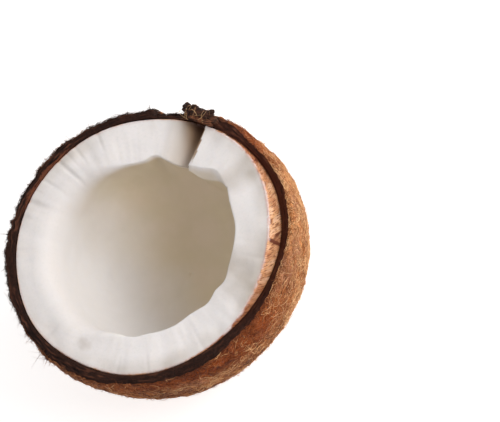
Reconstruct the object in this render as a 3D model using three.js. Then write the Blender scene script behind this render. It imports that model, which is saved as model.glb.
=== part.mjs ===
// Half of a cracked coconut, open side up: the hard shell, the white flesh in it and a
// scrap of husk on the broken edge. Millimetres, +Z up, standing on the worn blossom end.
import * as THREE from 'three';

const { degToRad, lerp, clamp, smoothstep } = THREE.MathUtils;

// ---- Shell ----
const RIM_RADIUS = 56.7;                 // outside of the broken edge, on average
const OVALNESS = 0.017;                  // of the radius: the edge is slightly oval,
const OVAL_AT = degToRad(3);
const THREE_RIBS = 0.0096;               // and faintly three-cornered, as the nut's ribs make it
const RIBS_AT = degToRad(27);
const BELLY_DROP = 11.3;                 // from the edge down to the widest level
const BELLY_HEIGHT = 52;                 // from the widest level down to the blossom end
const LEAN = new THREE.Vector2(4.4, 1.9); // how far the blossom end sits off the edge's centre
const SEAT_RADIUS = 11;                  // worn flat at the blossom end
const SHELL_WALL = 3.9;

// ---- Flesh ----
const FIT_GAP = 0.3;                     // between shell and flesh, and under the scrap
const FLESH_SIDE = 16.4;                 // thickness at the belly
const FLESH_BASE = 13;                   // thickness at the blossom end
const CAVITY_DROP = 4;                   // from the edge down to the cavity's widest level
const CAVITY_OVALNESS = 0.03;            // more oval than the shell

// ---- Break line: on one side the flesh stands up and the shell broke off bevelled ----
const PROUD = 4.8;                       // flesh above the shell's edge, at most
const PROUD_INNER = 3.4;                 // the same at the cavity
const BEVEL = 2.6;                       // shell's inner corner below its outer one, at most
const PROUD_AT = degToRad(3);
const PROUD_SPREAD = degToRad(65);       // to either side of PROUD_AT

// ---- Notch: a bite that slopes in from one side and ends at a steep wall ----
const NOTCH_WALL_AT = degToRad(59.5);
const NOTCH_WALL_TURN = degToRad(1.2);   // the wall isn't quite upright
const NOTCH_SPREAD = degToRad(17);
const NOTCH_OUTER = 8;                   // depth at the shell
const NOTCH_INNER = 4.5;                 // depth at the cavity

// ---- Scrap of husk on the edge ----
const SCRAP_AT = degToRad(66);
const SCRAP_LENGTH = 14;
const SCRAP_WIDTH = 5.6;
const SCRAP_THICK = 2.6;

// ---- Fineness of the surfaces ----
const COLUMNS = 72;
const LAYER_RINGS = 14;
const TOP_RINGS = 4;

// Radius and height of the nested egg-shaped layers, measured from the edge's level.
const bellyRadius = RIM_RADIUS / Math.sqrt(1 - (BELLY_DROP / BELLY_HEIGHT) ** 2);
const fleshInset = SHELL_WALL + FIT_GAP;
const outside = {
  drop: BELLY_DROP,
  radius: bellyRadius,
  height: BELLY_HEIGHT,
  ovalness: OVALNESS,
};
const shellInside = inset(outside, SHELL_WALL);
const fleshOutside = inset(outside, fleshInset);
const depth = BELLY_DROP + BELLY_HEIGHT;
const cavity = {
  drop: CAVITY_DROP,
  radius: bellyRadius - fleshInset - FLESH_SIDE,
  height: depth - fleshInset - FLESH_BASE - CAVITY_DROP,
  ovalness: CAVITY_OVALNESS,
};
const seatAngle = Math.asin(SEAT_RADIUS / bellyRadius);
const seatLevel = -BELLY_DROP - BELLY_HEIGHT * Math.cos(seatAngle);

function inset(layer, wall) {
  return { ...layer, radius: layer.radius - wall, height: layer.height - wall };
}

// How a layer's radius differs from a circle in the direction `turn`, as a factor.
function outline(turn, ovalness) {
  return 1 + ovalness * Math.cos(2 * (turn - OVAL_AT)) + THREE_RIBS * Math.cos(3 * (turn - RIBS_AT));
}

function angleFrom(turn, start) {
  return THREE.MathUtils.euclideanModulo(turn - start + Math.PI, 2 * Math.PI) - Math.PI;
}

// 1 where the break stands proudest, 0 beyond the spread.
function proudShare(turn) {
  const share = clamp(Math.abs(angleFrom(turn, PROUD_AT)) / PROUD_SPREAD, 0, 1);
  return Math.cos(share * Math.PI / 2) ** 2;
}

// 1 at the foot of the notch's wall, falling to 0 along its slope.
function notchShare(turn) {
  const past = angleFrom(turn, NOTCH_WALL_AT);
  if (past <= 0) return 0;
  if (past < NOTCH_WALL_TURN) return past / NOTCH_WALL_TURN;
  return 1 - smoothstep(past, NOTCH_WALL_TURN, NOTCH_SPREAD);
}

// Height of the flesh's broken face: `across` is 0 at the shell and 1 at the cavity.
function fleshTop(turn, across) {
  return proudShare(turn) * lerp(PROUD, PROUD_INNER, across)
    - notchShare(turn) * lerp(NOTCH_OUTER, NOTCH_INNER, across);
}

// A point on a layer: `climb` is 0 at the blossom end and grows up the side.
function onLayer(layer, turn, climb) {
  const radius = layer.radius * Math.sin(climb) * outline(turn, layer.ovalness);
  const level = Math.max(-layer.drop - layer.height * Math.cos(climb), seatLevel);
  const lean = clamp(-level / depth, 0, 1);
  return new THREE.Vector3(
    radius * Math.cos(turn) + LEAN.x * lean,
    radius * Math.sin(turn) + LEAN.y * lean,
    level,
  );
}

function climbTo(layer, level) {
  return Math.acos((-layer.drop - level) / layer.height);
}

// Ring functions up one layer, from just off its pole to the break at `edgeLevel(turn)`.
function layerRings(layer, edgeLevel, firstClimb) {
  const rings = [];
  for (let ring = 0; ring <= LAYER_RINGS; ring += 1) {
    rings.push((turn) => {
      const top = climbTo(layer, edgeLevel(turn));
      return onLayer(layer, turn, lerp(firstClimb, top, ring / LAYER_RINGS));
    });
  }
  return rings;
}

// Columns at even turns, with two more at the foot and the head of the notch's wall.
function columnTurns() {
  const turns = [NOTCH_WALL_AT, NOTCH_WALL_AT + NOTCH_WALL_TURN];
  const step = 2 * Math.PI / COLUMNS;
  const clear = step / 3;
  for (let column = 0; column < COLUMNS; column += 1) {
    const turn = column * step;
    if (turns.slice(0, 2).every((wall) => Math.abs(turn - wall) > clear)) turns.push(turn);
  }
  return turns.sort((a, b) => a - b);
}

// A closed skin from the outer pole, through the rings, to the inner pole.
function closedSkin(outerPole, rings, innerPole) {
  const turns = columnTurns();
  const count = turns.length;
  const points = [outerPole, ...rings.flatMap((ring) => turns.map((turn) => ring(turn))), innerPole];
  const last = points.length - 1;
  const at = (ring, column) => 1 + ring * count + column % count;
  const faces = [];
  for (let column = 0; column < count; column += 1) {
    faces.push(0, at(0, column + 1), at(0, column));
    faces.push(last, at(rings.length - 1, column), at(rings.length - 1, column + 1));
    for (let ring = 0; ring < rings.length - 1; ring += 1) {
      faces.push(at(ring, column), at(ring, column + 1), at(ring + 1, column + 1));
      faces.push(at(ring, column), at(ring + 1, column + 1), at(ring + 1, column));
    }
  }
  const geometry = new THREE.BufferGeometry().setFromPoints(points);
  geometry.setIndex(faces);
  return geometry;
}

function shellGeometry() {
  const rings = [
    ...layerRings(outside, () => 0, seatAngle),
    ...layerRings(shellInside, (turn) => -BEVEL * proudShare(turn), seatAngle).reverse(),
  ];
  return closedSkin(onLayer(outside, 0, 0), rings, onLayer(shellInside, 0, 0));
}

function fleshGeometry() {
  const outer = layerRings(fleshOutside, (turn) => fleshTop(turn, 0), seatAngle);
  const inner = layerRings(cavity, (turn) => fleshTop(turn, 1), seatAngle);
  const brink = outer.at(-1);
  const lip = inner.at(-1);
  const face = [];
  for (let ring = 1; ring < TOP_RINGS; ring += 1) {
    const across = ring / TOP_RINGS;
    face.push((turn) => brink(turn).lerp(lip(turn), across).setZ(fleshTop(turn, across)));
  }
  const rings = [...outer, ...face, ...inner.reverse()];
  return closedSkin(onLayer(fleshOutside, 0, 0), rings, onLayer(cavity, 0, 0));
}

// A bent flake lying along the edge, ragged in outline.
function scrapGeometry() {
  const half = SCRAP_LENGTH / 2;
  const side = SCRAP_WIDTH / 2;
  const flake = new THREE.Shape([
    new THREE.Vector2(-half, -side * 0.4),
    new THREE.Vector2(-half * 0.5, -side),
    new THREE.Vector2(half * 0.6, -side * 0.9),
    new THREE.Vector2(half, -side * 0.2),
    new THREE.Vector2(half * 0.8, side * 0.8),
    new THREE.Vector2(half * 0.1, side),
    new THREE.Vector2(-half * 0.7, side * 0.7),
  ]);
  return new THREE.ExtrudeGeometry(flake, { depth: SCRAP_THICK, bevelEnabled: false });
}

function finish(color, roughness) {
  return new THREE.MeshStandardMaterial({ color, roughness, metalness: 0 });
}

function piece(name, geometry, material) {
  const mesh = new THREE.Mesh(geometry, material);
  mesh.name = name;
  return mesh;
}

const shell = piece('shell', shellGeometry(), finish('#8a5a3a', 0.85));
const flesh = piece('flesh', fleshGeometry(), finish('#efebe6', 0.45));
const scrap = piece('husk_scrap', scrapGeometry(), finish('#4a2d1c', 0.9));

// The scrap lies on the shell's edge, clear of the flesh that stands up beside the notch.
const scrapRadius = RIM_RADIUS * outline(SCRAP_AT, OVALNESS) - SHELL_WALL / 2;
const scrapReach = Math.hypot(SCRAP_LENGTH, SCRAP_WIDTH) / 2 / scrapRadius;
const scrapFoot = FIT_GAP + proudShare(SCRAP_AT - scrapReach) * PROUD;
scrap.position.set(scrapRadius * Math.cos(SCRAP_AT), scrapRadius * Math.sin(SCRAP_AT), scrapFoot);
scrap.rotation.z = SCRAP_AT - Math.PI / 2;

// The origin is the middle of the footprint, at the level of the seat.
const coconutHalf = new THREE.Group();
coconutHalf.add(shell, flesh, scrap);
coconutHalf.updateMatrixWorld(true);
const footprint = new THREE.Box3().setFromObject(coconutHalf, true).getCenter(new THREE.Vector3());
coconutHalf.position.set(-footprint.x, -footprint.y, -seatLevel);

export default coconutHalf;
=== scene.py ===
import math

import bpy
import numpy as np
from mathutils import Matrix, Vector


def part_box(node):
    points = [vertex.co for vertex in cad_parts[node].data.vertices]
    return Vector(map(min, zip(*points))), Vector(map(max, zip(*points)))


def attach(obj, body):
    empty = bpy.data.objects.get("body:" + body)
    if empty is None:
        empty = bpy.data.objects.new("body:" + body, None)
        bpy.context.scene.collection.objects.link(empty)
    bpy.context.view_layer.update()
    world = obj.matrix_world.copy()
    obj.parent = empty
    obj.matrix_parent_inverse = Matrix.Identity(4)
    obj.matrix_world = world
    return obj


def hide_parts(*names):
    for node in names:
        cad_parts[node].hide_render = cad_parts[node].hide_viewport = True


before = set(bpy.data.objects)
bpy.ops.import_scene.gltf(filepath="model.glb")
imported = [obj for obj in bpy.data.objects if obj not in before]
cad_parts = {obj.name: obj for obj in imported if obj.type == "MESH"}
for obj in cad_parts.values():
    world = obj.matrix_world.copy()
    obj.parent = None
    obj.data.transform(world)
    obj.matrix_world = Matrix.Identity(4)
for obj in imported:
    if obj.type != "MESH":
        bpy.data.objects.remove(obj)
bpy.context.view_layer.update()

# Lengths are in millimetres in the edge frame, which has its origin in the middle of the
# broken edge and +Z up, until to_row() puts a point into the row's frame in metres.

# ---- The CAD part's own driving sizes ----
RIM_RADIUS = 56.7
OVALNESS = 0.017
OVAL_AT = math.radians(3)
THREE_RIBS = 0.0096
RIBS_AT = math.radians(27)
BELLY_DROP = 11.3
BELLY_HEIGHT = 52.0
LEAN = (4.4, 1.9)
SEAT_RADIUS = 11.0
SHELL_WALL = 3.9
FIT_GAP = 0.3
FLESH_SIDE = 16.4
FLESH_BASE = 13.0
CAVITY_DROP = 4.0
CAVITY_OVALNESS = 0.03
PROUD = 4.8
PROUD_INNER = 3.4
BEVEL = 2.6
PROUD_AT = math.radians(3)
PROUD_SPREAD = math.radians(65)
NOTCH_OUTER = 8.0
NOTCH_INNER = 4.5
NOTCH_SPREAD = math.radians(17)

FULL_TURN = 2 * math.pi
SEED = 7302

# How fine the pieces are. Each stays under 200,000 triangles, so none is thinned out later.
FLESH_COLUMNS = 610
SHELL_COLUMNS = 620
COAT_PIECES = 7
COAT_STRANDS = 4800
STRAY_CANDIDATES = 3400
EDGE_HAIRS = 2600
TUFT_HAIRS = 45
TUFT_AT = math.radians(-137)

# Radii of the rings along which noise is looked up, so that it runs round the nut.
FLESH_RING = 45
SHELL_RING = 52
EDGE_RING = 56
COAT_RING = 57


# ---- Small numeric tools ----
def smooth(low, high, value):
    """0 below low, 1 above high, and an even curve between."""
    share = np.clip((value - low) / (high - low), 0, 1)
    return share * share * (3 - 2 * share)


def mix(a, b, share):
    """From a, at a share of 0, to b, at a share of 1."""
    return a + (b - a) * share


def angle_from(turn, start):
    """The turn counted from `start`, from minus to plus half a turn."""
    return (turn - start + math.pi) % FULL_TURN - math.pi


def bump(turn, at, width):
    """1 in the direction `at` (degrees), falling to 0 at `width` degrees to either side."""
    away = np.abs(angle_from(turn, math.radians(at))) / math.radians(width)
    return np.where(away < 1, np.cos(np.clip(away, 0, 1) * math.pi / 2) ** 2, 0)


def around(turn, radius, height):
    """Points at a radius from the axis."""
    ring = np.broadcast_arrays(radius * np.cos(turn), radius * np.sin(turn), height)
    return np.stack(ring, -1)


def unit(vectors):
    """The vectors with a length of 1."""
    return vectors / np.maximum(np.linalg.norm(vectors, axis=-1, keepdims=True), 1e-9)


def curve(start, middle, end, u):
    """The point a share u along the curve that leaves start and reaches end by way of middle."""
    return (1 - u) ** 2 * start + 2 * u * (1 - u) * middle + u * u * end


def lattice(i, j, k, seed):
    """A fixed random number from 0 to 1 for each whole-numbered point."""
    h = (i * 374761393 + j * 668265263 + k * 1274126177 + seed * 974634777) & 0xFFFFFFFF
    h = ((h ^ (h >> 13)) * 1103515245) & 0xFFFFFFFF
    h = ((h ^ (h >> 15)) * 2246822519) & 0xFFFFFFFF
    return (h ^ (h >> 16)) / 2.0**32


def noise(points, size, seed=0):
    """Smooth noise from -1 to 1 whose lumps are about `size` across, in each direction."""
    p = np.asarray(points, float) / np.asarray(size, float)
    cell = np.floor(p).astype(np.int64)
    f = p - cell
    f = f * f * f * (f * (f * 6 - 15) + 10)
    total = 0.0
    for corner in range(8):
        dx, dy, dz = corner & 1, corner >> 1 & 1, corner >> 2
        weight = np.where(dx, f[..., 0], 1 - f[..., 0])
        weight = weight * np.where(dy, f[..., 1], 1 - f[..., 1])
        weight = weight * np.where(dz, f[..., 2], 1 - f[..., 2])
        total = total + weight * lattice(
            cell[..., 0] + dx, cell[..., 1] + dy, cell[..., 2] + dz, seed
        )
    return 2 * total - 1


def fractal(points, size, octaves, seed=0):
    """Noise with `octaves` sizes of lump, each half the size and strength of the last."""
    size = np.asarray(size, float)
    total = sum(noise(points, size / 2**o, seed + o) / 2**o for o in range(octaves))
    return total / (2 - 2.0 ** (1 - octaves))


# ---- The nested layers of the nut ----
class Layer:
    """An egg-shaped layer: a point on it has a turn round the axis and a climb, which is
    0 at the blossom end and grows up the side."""

    def __init__(self, drop, radius, height, ovalness):
        self.drop = drop
        self.radius = radius
        self.height = height
        self.ovalness = ovalness

    def inset(self, wall):
        return Layer(self.drop, self.radius - wall, self.height - wall, self.ovalness)

    def climb_to(self, level):
        return np.arccos(np.clip((-self.drop - level) / self.height, -1, 1))

    def point(self, turn, climb, out=0.0):
        """The point, moved `out` along the layer's outward normal."""
        turn, climb = np.broadcast_arrays(turn, climb)
        radius = self.radius * np.sin(climb) * outline(turn, self.ovalness)
        level = -self.drop - self.height * np.cos(climb)
        side, end = np.sin(climb) / self.radius, -np.cos(climb) / self.height
        length = np.hypot(side, end)
        radius = radius + out * side / length
        level = level + out * end / length
        lean = np.clip(-level / DEPTH, 0, 1)
        return around(turn, radius, level) + lean[..., None] * (*LEAN, 0)


def outline(turn, ovalness):
    """How a layer's radius differs from a circle, as a factor."""
    oval = ovalness * np.cos(2 * (turn - OVAL_AT))
    return 1 + oval + THREE_RIBS * np.cos(3 * (turn - RIBS_AT))


DEPTH = BELLY_DROP + BELLY_HEIGHT
BELLY_RADIUS = RIM_RADIUS / math.sqrt(1 - (BELLY_DROP / BELLY_HEIGHT) ** 2)
OUTSIDE = Layer(BELLY_DROP, BELLY_RADIUS, BELLY_HEIGHT, OVALNESS)
SHELL_INSIDE = OUTSIDE.inset(SHELL_WALL)
FLESH_INSET = SHELL_WALL + FIT_GAP
FLESH_OUTSIDE = OUTSIDE.inset(FLESH_INSET)
CAVITY = Layer(
    CAVITY_DROP,
    BELLY_RADIUS - FLESH_INSET - FLESH_SIDE,
    DEPTH - FLESH_INSET - FLESH_BASE - CAVITY_DROP,
    CAVITY_OVALNESS,
)
SEAT_CLIMB = math.asin(SEAT_RADIUS / BELLY_RADIUS)
SEAT_LEVEL = -BELLY_DROP - BELLY_HEIGHT * math.cos(SEAT_CLIMB)


# Where the shell's inner and outer faces lie further out than the CAD part's: direction,
# width in degrees, and how far.
INNER_SHIFTS = [(8, 60, 0.55), (112, 30, 0.6), (-148, 30, 0.8), (-95, 20, 0.3)]
OUTER_SHIFTS = [
    (52, 18, 0.3), (36, 18, -0.8), (4, 26, 0.9), (92, 12, -0.5), (152, 28, -0.7),
    (-120, 24, 0.6), (-66, 22, 1.2), (-40, 14, 0.5),
]
CHIP_FROM, CHIP_TO, CHIP_DEPTH = 70.5, 84.5, 2.2


def shifted(turn, shifts):
    """The sum of bumps, each given as (direction, width in degrees, size)."""
    return sum(size * bump(turn, at, width) for at, width, size in shifts)


def chipped(turn, level):
    """1 where the outer layer has broken away below the edge, 0 elsewhere."""
    degrees = np.degrees(turn) % 360
    along = smooth(CHIP_FROM, CHIP_FROM + 3, degrees)
    along = along * (1 - smooth(CHIP_TO, CHIP_TO + 1, degrees))
    return along * smooth(-18, -6, level)


# How ragged the edge's outer side is: everywhere, and then more in some directions.
RAGGED = 0.55
MORE_RAGGED = [(185, 85, 0.75), (-48, 30, 0.7)]


def wall_gain(turn, level):
    """How far the outer face stands off its layer near the edge."""
    at = around(turn, COAT_RING, level)
    ragged = noise(at, (2.6, 2.6, 4.0), 81) * 0.34 + noise(at, (1.2, 1.2, 2.4), 82) * 0.3
    ragged = ragged * smooth(-9, -2, level) * (RAGGED + shifted(turn, MORE_RAGGED))
    wider = shifted(turn, OUTER_SHIFTS) * smooth(-22, -2, level)
    return wider - CHIP_DEPTH * chipped(turn, level) + ragged


def edge_centre():
    """Where the edge frame's origin lies in the row's frame, in metres."""
    turns = np.linspace(0, FULL_TURN, 721)
    belly = OUTSIDE.point(turns[None, :], np.linspace(0.2, 1, 60)[:, None] * OUTSIDE.climb_to(0))
    drawn = (belly.min((0, 1)) + belly.max((0, 1))) / 2
    low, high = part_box("shell")
    made = (low + high) / 2
    return np.array([made.x - drawn[0] / 1000, made.y - drawn[1] / 1000, high.z])


EDGE_CENTRE = edge_centre()


def to_row(points):
    return np.asarray(points, float) / 1000 + EDGE_CENTRE


# ---- Meshes ----
def placed(name, data):
    """A new object in the scene with this mesh, lamp or camera."""
    made = bpy.data.objects.new(name, data)
    bpy.context.scene.collection.objects.link(made)
    return made


def mesh_object(name, points, faces, material, values=None, replaces=None, spread=None):
    """A smooth-shaded piece on the one body, with a named number at each point, and a place
    on a bake map for each corner of a face if `spread` gives them."""
    mesh = bpy.data.meshes.new(name)
    row = to_row(points)
    row[:, 2] = np.maximum(row[:, 2], 0)
    mesh.from_pydata(row.tolist(), [], faces)
    for key, numbers in (values or {}).items():
        attribute = mesh.attributes.new(key, "FLOAT", "POINT")
        attribute.data.foreach_set("value", np.asarray(numbers, np.float32).ravel())
    if spread is not None:
        layer = mesh.uv_layers.new(name="OFBake")
        layer.uv.foreach_set("vector", np.asarray(spread, np.float32).ravel())
    mesh.polygons.foreach_set("use_smooth", np.ones(len(mesh.polygons), bool))
    mesh.materials.append(material)
    piece = placed(name, mesh)
    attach(piece, "root")
    if replaces:
        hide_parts(replaces)


# The corners of a cell of a grid, in the order of its face's points.
CELL = ((0, 0), (1, 0), (1, 1), (0, 1))


def cell_corners(column, row, corners):
    """Each cell's corners as places on the bake map, one after another."""
    places = [np.stack([column + right, row + down], -1) for right, down in corners]
    return np.stack(places, -2).reshape(-1, 2)


def skin_spread(count, columns):
    """The bake map of a closed skin: its grid of walls, then its first and its last cap."""
    edge = np.arange(columns)
    row, column = np.meshgrid(np.arange(1, count), edge, indexing="ij")
    spread = [
        cell_corners(column, row, CELL),
        cell_corners(edge, 0 * edge, ((0.5, 0), (1, 1), (0, 1))),
        cell_corners(edge, 0 * edge + count, ((0.5, 1), (0, 0), (1, 0))),
    ]
    return np.concatenate(spread) / (columns, count + 1)


def closed_skin(name, rings, poles, material, values, replaces):
    """A closed piece from rings of points, outer pole first and inner pole last."""
    count, columns = rings.shape[:2]
    points = np.vstack([poles[0], rings.reshape(-1, 3), poles[1]])
    at = 1 + np.arange(count * columns).reshape(count, columns)
    beside = np.roll(at, -1, axis=1)
    walls = np.stack([at[:-1], beside[:-1], beside[1:], at[1:]], -1).reshape(-1, 4).tolist()
    last = len(points) - 1
    walls += [[0, int(b), int(a)] for a, b in zip(at[0], beside[0])]
    walls += [[last, int(a), int(b)] for a, b in zip(at[-1], beside[-1])]
    padded = {}
    for key, numbers in values.items():
        numbers = np.broadcast_to(numbers, (count, columns))
        padded[key] = np.concatenate([[numbers[0].mean()], numbers.ravel(), [numbers[-1].mean()]])
    spread = skin_spread(count, columns)
    mesh_object(name, points, walls, material, padded, replaces, spread)


def rows(*stretches):
    """Evenly spaced shares from 0 to 1, joined: each stretch is (from, to, count)."""
    parts = [np.linspace(a, b, n, endpoint=False) for a, b, n in stretches]
    return np.concatenate(parts + [[stretches[-1][1]]])


# ---- Material helpers ----
def new_material(name):
    """A material, its node tree and its shader."""
    material = bpy.data.materials.new(name)
    material.use_nodes = True
    tree = material.node_tree
    return material, tree, tree.nodes["Principled BSDF"]


def fill(tree, made, inputs):
    """Sets a node's inputs, each to a value or linked to a socket."""
    for key, value in inputs.items():
        if hasattr(value, "links"):
            tree.links.new(value, made.inputs[key])
        else:
            made.inputs[key].default_value = value


def node(tree, kind, inputs=None, **settings):
    made = tree.nodes.new(kind)
    for key, value in settings.items():
        setattr(made, key, value)
    fill(tree, made, inputs or {})
    return made


def number(tree, name):
    """The piece's own number of this name."""
    return node(tree, "ShaderNodeAttribute", attribute_name=name).outputs["Fac"]


def coordinates(tree, scale=(1, 1, 1)):
    """Object coordinates in millimetres, stretched by scale."""
    texture = node(tree, "ShaderNodeTexCoord").outputs["Object"]
    factor = tuple(1000 * s for s in scale)
    return node(tree, "ShaderNodeMapping", {"Vector": texture, "Scale": factor}).outputs["Vector"]


def noise_map(tree, vector, size, detail=3.0, roughness=0.55, distortion=0.0):
    """Noise from 0 to 1 with lumps of about `size` millimetres."""
    settings = {
        "Vector": vector,
        "Scale": 1 / size,
        "Detail": detail,
        "Roughness": roughness,
        "Distortion": distortion,
    }
    return node(tree, "ShaderNodeTexNoise", settings).outputs["Fac"]


def ramp(tree, value, low, high, smooth_steps=True):
    """0 at low and below, 1 at high and above."""
    kind = "SMOOTHSTEP" if smooth_steps else "LINEAR"
    inputs = {"Value": value, "From Min": low, "From Max": high}
    return node(tree, "ShaderNodeMapRange", inputs, interpolation_type=kind).outputs["Result"]


def math_node(tree, operation, a, b):
    return node(tree, "ShaderNodeMath", {0: a, 1: b}, operation=operation).outputs["Value"]


def times(tree, a, b):
    return math_node(tree, "MULTIPLY", a, b)


def blend_colour(tree, share, first, second, mode="MIX"):
    """The second colour over the first by a share. Each may be a value or a socket."""
    first, second = (c if hasattr(c, "links") else (*c, 1) for c in (first, second))
    made = node(tree, "ShaderNodeMix", data_type="RGBA", blend_type=mode)
    fill(tree, made, {0: share, 6: first, 7: second})
    return made.outputs[2]


def layered(tree, colour, layers):
    """Lays (share, colour) layers over a colour, one on another. A third entry is the mode."""
    for share, over, *mode in layers:
        colour = blend_colour(tree, share, colour, over, *mode)
    return colour


def bumped(tree, layers):
    """Bump from several (height, strength, distance in millimetres) layers, one on another."""
    below = {}
    for height, strength, distance in layers:
        inputs = {"Height": height, "Strength": strength, "Distance": distance / 1000}
        made = node(tree, "ShaderNodeBump", inputs | below)
        below = {"Normal": made.outputs["Normal"]}
    return made.outputs["Normal"]


def between(tree, share, low, high):
    """A number from low, at a share of 0, to high, at a share of 1."""
    inputs = {"Value": share, "To Min": low, "To Max": high}
    return node(tree, "ShaderNodeMapRange", inputs).outputs["Result"]


# ---- Flesh ----
WALL_OUTER = math.radians(60.5)
WALL_INNER = math.radians(58.0)
WALL_MIDDLE = (WALL_OUTER + WALL_INNER) / 2
WALL_WIDTH = math.radians(0.9)

# Where the cavity's edge bends in or out: direction, width in degrees, and how far.
LIP_BENDS = [
    (-30, 9, 1.1), (-46, 9, 0.7), (-60, 12, -0.8), (-97, 10, 0.7), (-112, 12, -0.5),
    (83, 8, 1.4), (97, 40, -2.2), (66, 14, -2.6), (14, 12, -0.5), (37, 18, 1.9),
]
# Radial creases of the broken face: direction, width in degrees, depth, reach across.
CREASES = [
    (132.5, 1.7, 0.6, 1.0), (154.0, 2.2, 0.5, 0.75), (123.5, 1.2, 0.35, 0.75),
    (143.0, 1.5, 0.3, 0.8), (161.0, 2.0, 0.3, 0.6), (112.0, 1.5, 0.3, 0.7),
    (176.0, 1.4, 0.2, 0.6), (148.5, 1.0, 0.25, 0.5), (128.0, 1.0, 0.25, 0.6),
    (-102.0, 1.3, 0.2, 0.6), (-88.0, 1.5, 0.2, 0.8), (-140.0, 1.6, 0.18, 0.7),
    (-62.0, 1.3, 0.15, 0.7), (24.0, 1.2, 0.18, 0.6), (-15.0, 1.4, 0.15, 0.7),
]

# What a point of the flesh's skin belongs to. From ON_FACE to IN_CAVITY it's the rounding.
ON_SKIN = 0
ON_BRINK = 0.5
ON_FACE = 1
IN_CAVITY = 2

# Its rows, as (from, to, count) shares of the way or as a count.
SKIN_ROWS = ((0, 0.55, 8), (0.55, 0.84, 12), (0.84, 0.985, 22))
BRINK_ROWS = 4
FACE_ROWS = 46
ROUNDING_ROWS = 14
CAVITY_ROWS = ((0, 0.55, 34), (0.55, 0.995, 20))
BRINK_ROUND = 0.45
SKIN_SLANT = 0.75
CRACK_AT = -7
SMUDGE_AT = math.radians(-122.4)


def proud_share(turn):
    """1 where the flesh stands proud the most, falling to 0 to either side."""
    away = np.clip(np.abs(angle_from(turn, PROUD_AT)) / PROUD_SPREAD, 0, 1)
    return np.cos(away * math.pi / 2) ** 2


def notch_share(turn):
    """1 at the foot of the notch's wall, and a slope up from there on the other side."""
    past = angle_from(turn, WALL_MIDDLE - WALL_WIDTH / 2)
    slope = 1 - smooth(WALL_WIDTH, NOTCH_SPREAD, past)
    return np.where(past <= 0, 0, np.where(past < WALL_WIDTH, past / WALL_WIDTH, slope))


def flesh_top(turn, across):
    """The level of the broken face, whose `across` is 0 at its outside and 1 inside."""
    proud = proud_share(turn) * mix(PROUD, PROUD_INNER, across)
    return proud - notch_share(turn) * mix(NOTCH_OUTER, NOTCH_INNER, across)


def flesh_columns(count):
    """Turns of the columns, from the foot of the notch's wall round to its head."""
    foot = WALL_MIDDLE + WALL_WIDTH / 2
    return foot + np.linspace(0, FULL_TURN - WALL_WIDTH, count)


def wall_skew(turn, across):
    """Turns the columns beside the notch's wall, so that it runs at a slant."""
    near = np.where(angle_from(turn, WALL_MIDDLE) > 0, 14, 10)
    away = np.abs(angle_from(turn, WALL_MIDDLE)) / np.radians(near)
    share = 1 - smooth(0.0, 1.0, away)
    return (mix(WALL_OUTER, WALL_INNER, across) - WALL_MIDDLE) * share


def facet_share(turn):
    """1 along the facet broken off the cavity's edge beside the notch, 0 elsewhere."""
    before = angle_from(turn, WALL_MIDDLE)
    return smooth(math.radians(-32), math.radians(-16), before) * (before < 0)


def soft_share(turn):
    """1 where the broken face rounds softly into the cavity, 0 where its edge is crisp."""
    degrees = np.degrees(turn) % 360
    return smooth(98, 145, degrees) * (1 - smooth(222, 262, degrees))


def flesh_rings(turns):
    """Rings of the flesh's skin, how far across the break each point lies and its part."""
    t = turns
    lip = shifted(t, LIP_BENDS)
    facet, soft = facet_share(t), soft_share(t)
    bulge = 4.6 * bump(t, 47, 24) * (facet > 0)
    deep = bump(t, 41, 22)
    # how far back from the cavity's edge, and how far down, its rounding reaches
    back = 0.7 + 7.5 * soft + (0.8 + 2.6 * deep) * facet
    down = 0.8 + 13.0 * soft + (1.0 + 3.8 * deep) * facet
    climb_outer = FLESH_OUTSIDE.climb_to(flesh_top(t, 0))
    climb_inner = CAVITY.climb_to(flesh_top(t, 1))

    def outside(share):
        climb = mix(SEAT_CLIMB, climb_outer, share)
        outwards = shifted(t, INNER_SHIFTS) * smooth(0.6, 0.9, share)
        return FLESH_OUTSIDE.point(t, climb, outwards)

    def cavity_point(climb):
        p = CAVITY.point(t, climb)
        level = p[..., 2]
        shift = lip * smooth(-26, 0, level) - bulge * smooth(-24, -5, level)
        return p + around(t, shift, 0)

    brink = outside(1.0)
    corner = cavity_point(climb_inner)
    span = np.linalg.norm(corner - brink, axis=-1)
    lower_climb = climb_inner - down / CAVITY.height
    lower = cavity_point(lower_climb)

    def face(across):
        p = mix(brink, corner, across[:, None])
        return np.concatenate([p[..., :2], flesh_top(t, across)[..., None]], -1)

    face_start = BRINK_ROUND / span
    face_end = 1 - back / span
    upper = face(face_end)
    middle = mix(corner, (upper + lower) / 2, (0.95 * facet)[:, None])
    below, above = outside(0.993), face(face_start)
    rings, across_of, part_of = [], [], []

    def add(ring, across, part):
        rings.append(ring)
        across_of.append(np.broadcast_to(across, t.shape))
        part_of.append(np.full(t.shape, part))

    for share in rows(*SKIN_ROWS):
        add(outside(share), 0, ON_SKIN)
    for u in np.linspace(0, 1, BRINK_ROWS)[1:-1]:
        add(curve(below, brink, above, u), 0, ON_BRINK)
    for u in np.linspace(0, 1, FACE_ROWS):
        across = mix(face_start, face_end, u)
        add(face(across), across, ON_FACE)
    for u in np.linspace(0, 1, ROUNDING_ROWS)[1:-1]:
        add(curve(upper, middle, lower, u), mix(face_end, 1, u), ON_FACE + u)
    for u in rows(*CAVITY_ROWS):
        add(cavity_point(mix(lower_climb, 0.0, u)), 1, IN_CAVITY)
    return np.array(rings), np.array(across_of), np.array(part_of)


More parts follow.
